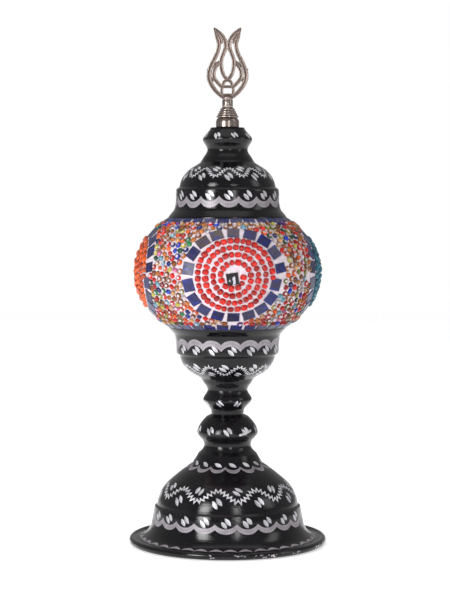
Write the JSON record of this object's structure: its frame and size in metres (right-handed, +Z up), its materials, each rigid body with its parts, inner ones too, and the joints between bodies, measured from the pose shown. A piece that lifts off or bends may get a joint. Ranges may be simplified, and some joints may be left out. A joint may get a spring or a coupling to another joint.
{
  "type": "mosaic glass table lamp",
  "caption": "Table lamp with a beaded mosaic glass globe held between an engraved black spun-metal stand and cap, topped by an openwork tulip finial.",
  "frame": {"origin": "centre of the base's underside, on the table", "axes": "+Z up along the lamp's axis, front medallion towards -Y, cord inlet towards +Y"},
  "size_m": [0.1744, 0.1744, 0.453],
  "materials": {
    "black_enamel": "gloss black enamel over spun metal, with bright engraved cuts",
    "board": "pressed hardboard",
    "felt": "dark green felt",
    "gasket_felt": "pale felt ring",
    "rubber": "black rubber",
    "zinc_steel": "zinc-plated steel",
    "bushing_plastic": "white nylon",
    "holder_plastic": "black moulded plastic",
    "ceramic": "white ceramic",
    "contact_brass": "nickelled brass",
    "insulator_glass": "black glass insulator",
    "bulb_glass": "clear lamp glass",
    "filament": "dark drawn wire",
    "globe_glass": "clear blown glass",
    "grout": "pale grout with glass seed beads set in it",
    "tile_blue": "dark blue glass tile with a mirrored back",
    "tile_mirror": "dark mirror tile",
    "nickel": "warm polished nickel"
  },
  "bodies": {
    "stand": {"base_shell": "black_enamel", "base_board": "board", "felt_pad": "felt", "cord_grommet": "rubber", "threaded_tube": "zinc_steel", "tube_bushing": "bushing_plastic", "base_washer": "zinc_steel", "base_nut": "zinc_steel", "gallery_cup": "black_enamel", "gallery_washer": "zinc_steel", "gallery_nut": "zinc_steel", "gallery_gasket": "gasket_felt", "holder_locknut": "zinc_steel", "holder_dome": "holder_plastic", "terminal_block": "ceramic", "terminal_screws": "contact_brass", "holder_skirt": "holder_plastic", "screw_shell": "contact_brass", "centre_contact": "contact_brass"},
    "bulb_base": {"bulb_cap": "contact_brass", "bulb_insulator": "insulator_glass", "bulb_tip": "contact_brass"},
    "bulb": {"bulb_glass": "bulb_glass", "bulb_stem": "bulb_glass", "bulb_filament": "filament"},
    "globe": {"globe_glass": "globe_glass", "mosaic_grout": "grout", "medallion_tiles_front": "tile_blue", "medallion_tiles_right": "tile_blue", "medallion_tiles_back": "tile_blue", "medallion_tiles_left": "tile_blue", "centre_tiles": "tile_mirror", "upper_tile_ring": "tile_blue", "lower_tile_ring": "tile_blue"},
    "cap": {"top_cap": "black_enamel", "cap_gasket": "gasket_felt", "finial_stud": "zinc_steel", "stud_washer": "zinc_steel", "stud_nut": "zinc_steel"},
    "ferrule": {"finial_ferrule": "nickel"},
    "tulip": {"finial_tulip": "nickel"}
  },
  "joints": [
    {"name": "globe_lift", "type": "slide", "parent": "stand", "child": "globe", "axis": [0, 0, 1], "range_m": [0, 0.08]},
    {"name": "cap_lift", "type": "slide", "parent": "globe", "child": "cap", "axis": [0, 0, 1], "range_m": [0, 0.06]},
    {"name": "finial_rise", "type": "slide", "parent": "cap", "child": "ferrule", "axis": [0, 0, 1], "range_m": [0, 0.0087]},
    {"name": "tulip_turn", "type": "hinge", "parent": "ferrule", "child": "tulip", "pos_m": [0, 0, 0.375], "axis": [0, 0, 1], "range_deg": [0, 3150]},
    {"name": "bulb_rise", "type": "slide", "parent": "stand", "child": "bulb_base", "axis": [0, 0, 1], "range_m": [0, 0.0112]},
    {"name": "bulb_turn", "type": "hinge", "parent": "bulb_base", "child": "bulb", "pos_m": [0, 0, 0.2], "axis": [0, 0, 1], "range_deg": [0, 1440]}
  ],
  "couplings": [
    {"joint": "tulip_turn", "follows": "finial_rise", "rad_per_m": 6283.2},
    {"joint": "bulb_turn", "follows": "bulb_rise", "rad_per_m": 2228.1}
  ]
}
